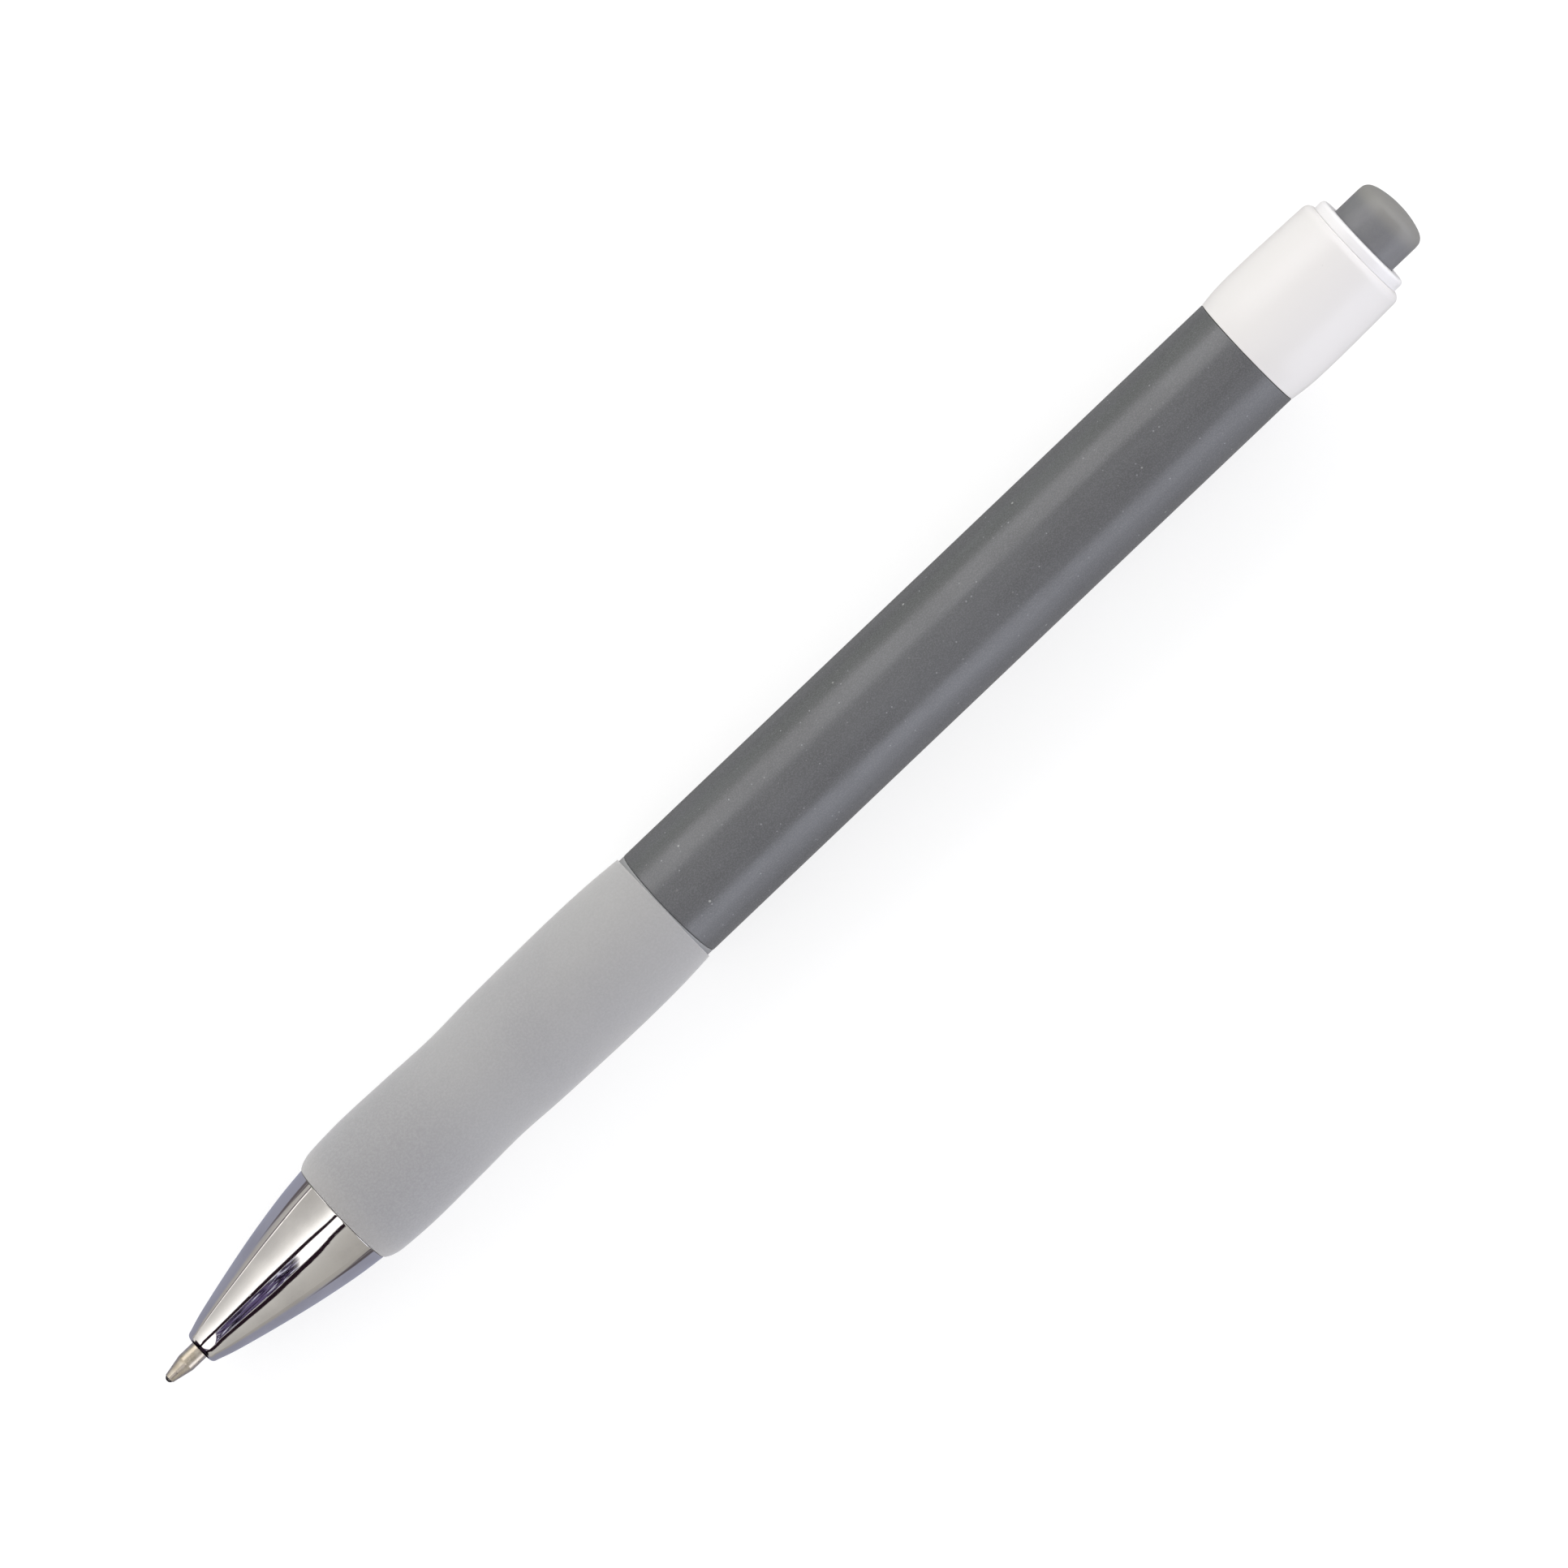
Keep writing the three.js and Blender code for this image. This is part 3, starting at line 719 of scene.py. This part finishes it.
# Sections of the clip, behind its rounded tip, as (first place, step, count).
CLIP_STATIONS = [(PAD_END, 0.35, 12), (102.0, 1.15, 20), (124.6, 0.2, 14), (127.6, 0.45, 20)]
BOSS_CAP, BOSS_CAP_WIDTH, BOSS_CAP_DEPTH = 0.25, 0.93, 0.985  # its length, and its size at the end


def make_upper_barrel():
    outline = [
        (UPPER_FRONT, UPPER_RADIUS, 0.07),
        (UPPER_FRONT + SLANT_ROOM, UPPER_RADIUS),
        (UPPER_END, UPPER_RADIUS, 0.07),
        (UPPER_END, SLEEVE_BORE),
        (UPPER_FRONT, SLEEVE_BORE, 0.08),
    ]
    front = slant(UPPER_FRONT, BARREL_RISE, reach=0.9)
    barrel = lathe("upper_barrel_grey", rounded(outline), shift=front)
    return finish_piece(barrel, "casing", "barrel", BARREL, "upper_barrel")


def blend_between(x, start, end):
    """0 before start, 1 after end and smooth between them."""
    t = min(max((x - start) / (end - start), 0), 1)
    return t * t * (3 - 2 * t)


def quarter(x, start, end):
    """The height of a quarter of an ellipse at x: 0 at start, 1 from end on."""
    t = min(max((end - x) / (end - start), 0), 1)
    return math.sqrt(1 - t * t)


def clip_section(x):
    """A rounded box across the clip at x: its half width and its inner and outer depth."""
    width = TIP_HALF_WIDTH * quarter(x, CLIP_TIP, CLIP_TIP + TIP_HALF_WIDTH)
    grow = min(max((x - CLIP_TIP - TIP_HALF_WIDTH) / CLIP_TAPER, 0), 1)
    width += (ROOT_HALF_WIDTH - TIP_HALF_WIDTH) * grow
    nose_depth = table_depth(CLIP_TIP) - CLIP_NOSE_LIFT
    outer = nose_depth + (table_depth(x) - nose_depth) * quarter(x, CLIP_TIP, CLIP_TIP + OUTER_NOSE)
    outer -= BOSS_LIFT * blend_between(x, BOSS_LIFT_FRONT, BOSS_LIFT_END)
    outer -= BOSS_FALL * blend_between(x, BOSS_FALL_FRONT, BOSS_FALL_END)
    inner = nose_depth - (nose_depth - PAD_DEPTH) * quarter(x, CLIP_TIP, CLIP_TIP + INNER_NOSE)
    rise = blend_between(x, PAD_END, ARM_FRONT)
    inner += (table_depth(x) - CLIP_THICKNESS - inner) * rise
    root = blend_between(x, ROOT_FRONT, BOSS_FRONT)
    inner += (BOSS_DEPTH - inner) * root
    return width, inner, outer


def rounded_box(x, width, inner, outer, corner=0.5, steps=5):
    """The loop of points of a section, with rounded corners."""
    middle = -(inner + outer) / 2
    half = (outer - inner) / 2
    corner = min(corner, 0.92 * half, 0.92 * width)
    loop = []
    for quadrant in range(4):
        side_y = (1, -1, -1, 1)[quadrant]
        side_z = (1, 1, -1, -1)[quadrant]
        for step in range(steps + 1):
            angle = math.pi / 2 * (quadrant + step / steps)
            y = side_y * (width - corner) + corner * math.cos(angle)
            z = middle + side_z * (half - corner) + corner * math.sin(angle)
            loop.append((x, y, z))
    return loop


def make_clip_moulding():
    """The collar and its clip are one moulding; it is built straight, and nothing here lets it bend at the
    clip's root.
    """
    outline = [
        (COLLAR_FRONT, COLLAR_FRONT_RADIUS, 0.07),
        *smooth(COLLAR_LINE, 60)[1:],
        (COLLAR_END, COLLAR_END_RADIUS, 0.75),
        (COLLAR_END, SLEEVE_BORE),
        (COLLAR_FRONT, SLEEVE_BORE),
    ]
    moulding = lathe("clip_moulding", rounded(outline, steps=10))
    places = [CLIP_TIP + TIP_HALF_WIDTH * (1 - math.cos(math.radians(a))) for a in range(4, 91, 6)]
    for start, step, count in CLIP_STATIONS:
        places += [start + step * i for i in range(count)]
    sections = [rounded_box(x, *clip_section(x)) for x in places if x <= BOSS_END]
    cap = [(BOSS_END + BOSS_CAP, y * BOSS_CAP_WIDTH, z * BOSS_CAP_DEPTH) for _, y, z in sections[-1]]
    sections.append(cap)
    combine(moulding, loft("clip", sections), "UNION")
    finish_piece(moulding, None, "white", WHITE, "clip_collar", "clip_arm")
    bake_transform(moulding)
    return moulding


HOUSING_FRONT, HOUSING_FLANGE, HOUSING_END, HOUSING_RADIUS = 116.0, 137.67, 138.72, 4.83
GUIDE_BORE = 3.5
CHANNEL_RADIUS, CHANNEL_WIDTH, CHANNEL_FRONT, CHANNEL_END = 3.98, 1.4, 125.0, 136.55
NOTCH_DEPTH = 0.6
CUT_AHEAD = 1.0, 0.01  # how far ahead of the guide's front face the channels and the notches start


def make_housing():
    outline = [
        (HOUSING_FRONT, SLEEVE, 0.15),
        (HOUSING_FLANGE, SLEEVE),
        (HOUSING_FLANGE, HOUSING_RADIUS, 0.03),
        (HOUSING_END, HOUSING_RADIUS, 0.38),
        (HOUSING_END, GUIDE_BORE, 0.12),
        (CHANNEL_FRONT, GUIDE_BORE),
        (CHANNEL_FRONT, CHANNEL_RADIUS),
        (HOUSING_FRONT, CHANNEL_RADIUS),
    ]
    housing = lathe("mechanism_housing_white", rounded(outline, steps=8))
    half = CHANNEL_WIDTH / 2
    bar_front, notch_front = [CHANNEL_FRONT - ahead for ahead in CUT_AHEAD]
    bar = [(bar_front, -half), (bar_front, half), (CHANNEL_END, half), (CHANNEL_END, -half)]
    notch = [(notch_front, -half), (notch_front, half), (CHANNEL_FRONT + NOTCH_DEPTH, 0)]
    for quarter_turn in (0, 1):
        turn = quarter_turn * math.pi / 2
        combine(housing, prism(bar, CHANNEL_RADIUS, turn), "DIFFERENCE")
        combine(housing, prism(notch, CHANNEL_RADIUS, turn + math.pi / 4), "DIFFERENCE")
    return finish_piece(housing, "casing", "white", WHITE_RING, "mechanism_housing")


BUTTON_FRONT, BUTTON_RADIUS, CROWN_FRONT = 131.05, 3.43, 141.0
BUTTON_BORE_END, BUTTON_BORE_TOP, BUTTON_BORE_MOUTH = 141.2, 2.3, 2.6
CROWN_LINE = [
    (141.45, BUTTON_RADIUS), (141.95, 3.345), (142.35, 3.03), (142.62, 2.5),
    (142.82, 1.75), (142.95, 0.9), (143.0, 0.0),
]


def make_push_button():
    crown = smooth(CROWN_LINE, 60)
    outline = [
        (BUTTON_BORE_END, 0.0),
        (BUTTON_BORE_END, BUTTON_BORE_TOP, 0.35),
        (BUTTON_FRONT, BUTTON_BORE_MOUTH),
        (BUTTON_FRONT, BUTTON_RADIUS, 0.08),
        (CROWN_FRONT, BUTTON_RADIUS),
        *crown,
    ]
    button = lathe("push_button_smoke", rounded(outline), closed=False)
    return finish_piece(button, "button", "smoke", SMOKE, "push_button")


def dress_nodes():
    """The works inside keep their CAD shapes and get their own finishes."""
    looks = {
        "thrust_cam": DARK_NYLON,
        "rotor": NYLON,
        "refill_tube": CLEAR,
        "ink_column": INK,
        "tip_holder": CLEAR,
        "return_spring": SPRING_STEEL,
    }
    for name, look in looks.items():
        node = frame["nodes"][name]
        node.data.materials.clear()
        node.data.materials.append(look)


# ---- Floor, light and camera -----------------------------------------------------------

VIEW_TILT = math.radians(1.3)  # of the camera from straight above, towards the push button
VIEW_TURN = math.radians(43.61)  # of the pen in the picture, anticlockwise from the right
VIEW_WIDTH = 0.1313  # across the picture, at the pen
LENS, SENSOR = 800.0, 36.0
AIM_RIGHT, AIM_UP = 0.10, 0.85  # of the picture's middle from the pen's, in millimetres


def make_camera():
    back = Vector((math.sin(VIEW_TILT), 0, math.cos(VIEW_TILT)))
    along = Vector((math.cos(VIEW_TILT), 0, -math.sin(VIEW_TILT)))
    across = Vector((0, 1, 0))
    right = along * math.cos(VIEW_TURN) - across * math.sin(VIEW_TURN)
    up = along * math.sin(VIEW_TURN) + across * math.cos(VIEW_TURN)
    data = bpy.data.cameras.new("camera")
    data.lens = LENS
    data.sensor_width = SENSOR
    data.clip_start = 0.1
    data.clip_end = 20
    camera = bpy.data.objects.new("camera", data)
    bpy.context.scene.collection.objects.link(camera)
    aim = at(PEN_MIDDLE) + right * AIM_RIGHT * MM + up * AIM_UP * MM
    matrix = Matrix((right, up, back)).transposed().to_4x4()
    matrix.translation = aim + back * VIEW_WIDTH * LENS / SENSOR
    camera.matrix_world = matrix
    bpy.context.scene.camera = camera


# What the pen's gloss sees in the floor, by the distance from the pen's axis in millimetres,
# +Y positive: stops of (distance, brightness, tint).
WHITE_LIGHT, WARM, PLUM, LILAC = (1, 1, 1), (1, 0.98, 0.96), (1, 0.9, 1), (0.36, 0.375, 0.47)
BLUISH, GREENISH, MAGENTA = (0.92, 0.95, 1.06), (0.88, 1.08, 0.75), (1, 0.5, 0.85)
FLOOR_BY_NOSE = [
    (-120, 0.8, WARM),
    (-78, 0.8, WARM),
    (-68, 0.17, PLUM),
    (-46, 0.13, PLUM),
    (-42, 0.3, (1, 0.97, 1)),
    (-37, 0.13, PLUM),
    (-26, 0.13, PLUM),
    (-24, 1.0, LILAC),
    (24, 1.0, LILAC),
    (26, 0.15, PLUM),
    (37, 0.15, PLUM),
    (42, 0.3, (1, 0.97, 1)),
    (46, 0.13, PLUM),
    (120, 0.17, PLUM),
]
FLOOR_AT_NOSE_FRONT = [
    (-120, 0.46, (1, 0.98, 0.93)),
    (-46, 0.44, (1, 0.98, 0.94)),
    (-22, 1.0, LILAC),
    (22, 1.0, LILAC),
    (46, 0.5, (1, 0.98, 0.95)),
    (120, 0.55, (1, 0.99, 0.96)),
]
FLOOR_BY_BARREL = [
    (-120, 1.2, BLUISH),
    (-60, 1.05, BLUISH),
    (-26, 0.45, (0.96, 0.97, 1.03)),
    (-16, 0.26, WHITE_LIGHT),
    (16, 0.2, WHITE_LIGHT),
    (27, 0.13, (0.95, 1.02, 0.95)),
    (42, 0.26, GREENISH),
    (120, 0.33, GREENISH),
]
FLOOR_REACH = 120
FLOOR_GLOW = 0.64
FLOOR_TONE, FLOOR_TONE_LOW = 0.45, 0.445
FLOOR_RADII, FLOOR_SEGMENTS = (0.0, 0.3, 1.0, 3.0), 96
FLOOR_GAP = 0.00002  # under the pen
CARD_BRIGHTEST = 2.0
# Where one card gives way to the next, along X in metres, and a dark wedge ahead of the nose:
# its point, and where its edge starts and is complete, in degrees from -X.
FRONT_TO_NOSE, NOSE_TO_BARREL = (-0.067, -0.062), (-0.048, -0.036)
WEDGE_POINT, WEDGE_EDGE, WEDGE_COLOUR = -0.0675, (38, 34), (0.008, 0.004, 0.008, 1)


def make_floor():
    """A wide pale floor. The pen's gloss sees grey paper beside the pen, and cards further out."""
    bm = bmesh.new()
    rings = []
    for radius in FLOOR_RADII:
        count = FLOOR_SEGMENTS if radius else 1
        angles = [2 * math.pi * i / FLOOR_SEGMENTS for i in range(count)]
        rings.append([bm.verts.new((radius * math.cos(a), radius * math.sin(a), 0)) for a in angles])
    for a, b in zip(rings, rings[1:]):
        for i in range(FLOOR_SEGMENTS):
            j = (i + 1) % FLOOR_SEGMENTS
            corners = [a[i % len(a)], b[i], b[j], a[j % len(a)]]
            bm.faces.new(list(dict.fromkeys(corners)))
    floor = new_object("floor", bm)
    floor.matrix_world = Matrix.Translation((0, 0, cad_box[0][2] - FLOOR_GAP))
    look = Look("floor_paper", Roughness=0.9, Specular_IOR_Level=0.1)
    look.feed(Emission_Color=(1, 1, 1, 1), Emission_Strength=FLOOR_GLOW)
    cloud = look.spread(look.noise(30, 3), 0.3, 0.7)
    look.feed(Base_Color=look.mix(cloud, grey(FLOOR_TONE), grey(FLOOR_TONE_LOW)))

    x, y, _ = look.axes()
    across = look.math("DIVIDE", y, MM)
    ramps = [
        look.ramp(across, -FLOOR_REACH, FLOOR_REACH, stops, top=CARD_BRIGHTEST)
        for stops in (FLOOR_AT_NOSE_FRONT, FLOOR_BY_NOSE, FLOOR_BY_BARREL)
    ]
    seen = look.mix(look.spread(x, *FRONT_TO_NOSE), ramps[0], ramps[1])
    seen = look.mix(look.spread(x, *NOSE_TO_BARREL), seen, ramps[2])
    ahead = look.math("SUBTRACT", WEDGE_POINT, x)
    compass = look.math("ABSOLUTE", look.math("ARCTAN2", y, ahead))
    wedge = look.spread(compass, *[math.radians(edge) for edge in WEDGE_EDGE])
    seen = look.mix(wedge, seen, WEDGE_COLOUR)
    card = look.node("ShaderNodeEmission")
    look.fill(card.inputs["Color"], seen)
    look.fill(card.inputs["Strength"], CARD_BRIGHTEST)
    either = look.node("ShaderNodeMixShader")
    look.fill(either.inputs["Fac"], look.node("ShaderNodeLightPath").outputs["Is Glossy Ray"])
    look.fill(either.inputs[1], look.shader.outputs["BSDF"])
    look.fill(either.inputs[2], card.outputs["Emission"])
    look.fill(look.tree.nodes["Material Output"].inputs["Surface"], either.outputs["Shader"])
    floor.data.materials.append(look.material)


# Light from beside the pen, by its angle from straight up round the pen's axis, +Y positive.
SIDE_LIGHT = [
    (-180, 1.0, (0.95, 0.97, 1)),
    (-90, 1.2, BLUISH),
    (-84, 2.1, BLUISH),
    (-60, 2.2, BLUISH),
    (-50, 0.44, WHITE_LIGHT),
    (0, 0.38, WHITE_LIGHT),
    (30, 0.42, WHITE_LIGHT),
    (38, 2.2, WHITE_LIGHT),
    (68, 2.2, WHITE_LIGHT),
    (76, 1.2, (1, 1, 0.95)),
    (84, 0.35, GREENISH),
    (180, 0.35, GREENISH),
]
# Light from ahead of the writing point, by its compass angle from -X, +Y positive.
FRONT_LIGHT = [
    (-180, 0.46, (1, 0.98, 0.93)),
    (-80, 0.46, (1, 0.98, 0.93)),
    (-70, 0.52, (1, 0.985, 0.94)),
    (-60, 0.58, (1, 0.99, 0.95)),
    (-49, 0.66, (1, 1, 0.96)),
    (-48, 0.02, MAGENTA),
    (-37, 0.02, MAGENTA),
    (-36, 1.7, WHITE_LIGHT),
    (8, 1.7, WHITE_LIGHT),
    (9, 0.02, MAGENTA),
    (23, 0.02, MAGENTA),
    (25, 1.8, (1, 1, 0.99)),
    (42, 1.35, (1, 1, 0.98)),
    (52, 1.0, (1, 1, 0.97)),
    (62, 0.75, (1, 0.995, 0.97)),
    (76, 0.58, (1, 0.99, 0.96)),
    (180, 0.55, (1, 0.99, 0.96)),
]
STREAK_MIDDLE, STREAK_HALF = -14, 22
STREAK_RAGGED = 7.0  # how far the edges of the front light wander, in degrees
# The ends of the dark patch in the streak, by how far ahead its light comes from, and their slant.
PATCH_FRONT, PATCH_END, PATCH_SLANT = (0.461, 0.466), (0.633, 0.626), 0.065
PATCH_DARK, PATCH_PALE = (0.003, 0.001, 0.005, 1), (0.05, 0.038, 0.085, 1)
PATCH_GLINT = (0.32, 0.33, 0.4, 1)
EDGE_DARK, EDGE_BRIGHT = (0.07, 0.06, 0.07, 1), (0.6, 0.59, 0.58, 1)  # lines above the floor's edge
SIDE_TO_FRONT = 0.14, 0.2  # where the side light gives way to the front light
BRIGHTEST = 2.5
END_LIGHT = 1.5  # of the panel behind the push button
BACKGROUND = 0.97


def make_light():
    """Soft panels all round, by the way that light comes from."""
    world = bpy.data.worlds.new("studio")
    bpy.context.scene.world = world
    world.use_nodes = True
    sky = Nodes(world.node_tree, "Generated")
    x, y, z = sky.axes()
    degree = math.radians(1)
    around = sky.math("DIVIDE", sky.math("ARCTAN2", y, z), degree)
    side = sky.ramp(around, -180, 180, SIDE_LIGHT, top=BRIGHTEST)
    ahead = sky.math("MULTIPLY", x, -1.0)
    compass = sky.math("DIVIDE", sky.math("ARCTAN2", y, ahead), degree)
    ragged = sky.math("MULTIPLY", sky.math("SUBTRACT", sky.noise(40, 4, 0.7), 0.5), STREAK_RAGGED)
    compass = sky.math("ADD", compass, ragged)
    front = sky.ramp(compass, -180, 180, FRONT_LIGHT, top=BRIGHTEST)
    # A mottled dark patch in the middle of the streak, slanted at both ends.
    mottle = sky.spread(sky.noise(24, 3, 0.7, stretch=(2.0, 0.4, 0.6)), 0.44, 0.56)
    dark = sky.mix(mottle, PATCH_DARK, PATCH_PALE)
    glint = sky.spread(sky.noise(32, 2, stretch=(2.0, 0.45, 0.6)), 0.56, 0.64)
    dark = sky.mix(glint, dark, PATCH_GLINT)
    middle = sky.math("ABSOLUTE", sky.math("SUBTRACT", compass, STREAK_MIDDLE))
    inside = sky.spread(middle, STREAK_HALF + 1, STREAK_HALF - 1)
    begin = sky.spread(ahead, *PATCH_FRONT)
    end = sky.spread(sky.math("ADD", ahead, sky.math("MULTIPLY", y, PATCH_SLANT)), *PATCH_END)
    patch = sky.math("MULTIPLY", inside, sky.math("MULTIPLY", begin, end))
    front = sky.mix(patch, front, dark)
    # A thin bright line over a dark one, just above the floor's edge on the +Y side.
    beside = sky.math("MULTIPLY", sky.spread(y, 0.5, 0.6), sky.spread(ahead, 0.52, 0.47))
    low = sky.math("MULTIPLY", beside, sky.spread(z, 0.05, 0.04))
    front = sky.mix(low, front, EDGE_DARK)
    line = sky.math("MULTIPLY", sky.spread(z, 0.05, 0.06), sky.spread(z, 0.1, 0.09))
    front = sky.mix(sky.math("MULTIPLY", beside, line), front, EDGE_BRIGHT)
    studio = sky.mix(sky.spread(ahead, *SIDE_TO_FRONT), side, front)
    # A panel behind the push button.
    beside = sky.spread(sky.math("ABSOLUTE", y), 0.6, 0.45)
    behind = sky.math("MULTIPLY", sky.spread(x, 0.42, 0.52), beside)
    studio = sky.mix(behind, studio, grey(END_LIGHT / BRIGHTEST))
    light = sky.node("ShaderNodeBackground")
    sky.fill(light.inputs["Color"], studio)
    sky.fill(light.inputs["Strength"], BRIGHTEST)
    plain = sky.node("ShaderNodeBackground")
    sky.fill(plain.inputs["Color"], grey(BACKGROUND))
    either = sky.node("ShaderNodeMixShader")
    sky.fill(either.inputs["Fac"], sky.node("ShaderNodeLightPath").outputs["Is Camera Ray"])
    sky.fill(either.inputs[1], light.outputs["Background"])
    sky.fill(either.inputs[2], plain.outputs["Background"])
    sky.fill(sky.tree.nodes["World Output"].inputs["Surface"], either.outputs["Shader"])


# ---- The scene -------------------------------------------------------------------------

make_camera()
make_nose_cone()
make_lower_barrel()
make_grip()
make_writing_tip()
make_ball()
make_upper_barrel()
make_clip_moulding()
make_housing()
make_push_button()
dress_nodes()
make_floor()
make_light()
bpy.context.scene.view_settings.view_transform = "Standard"
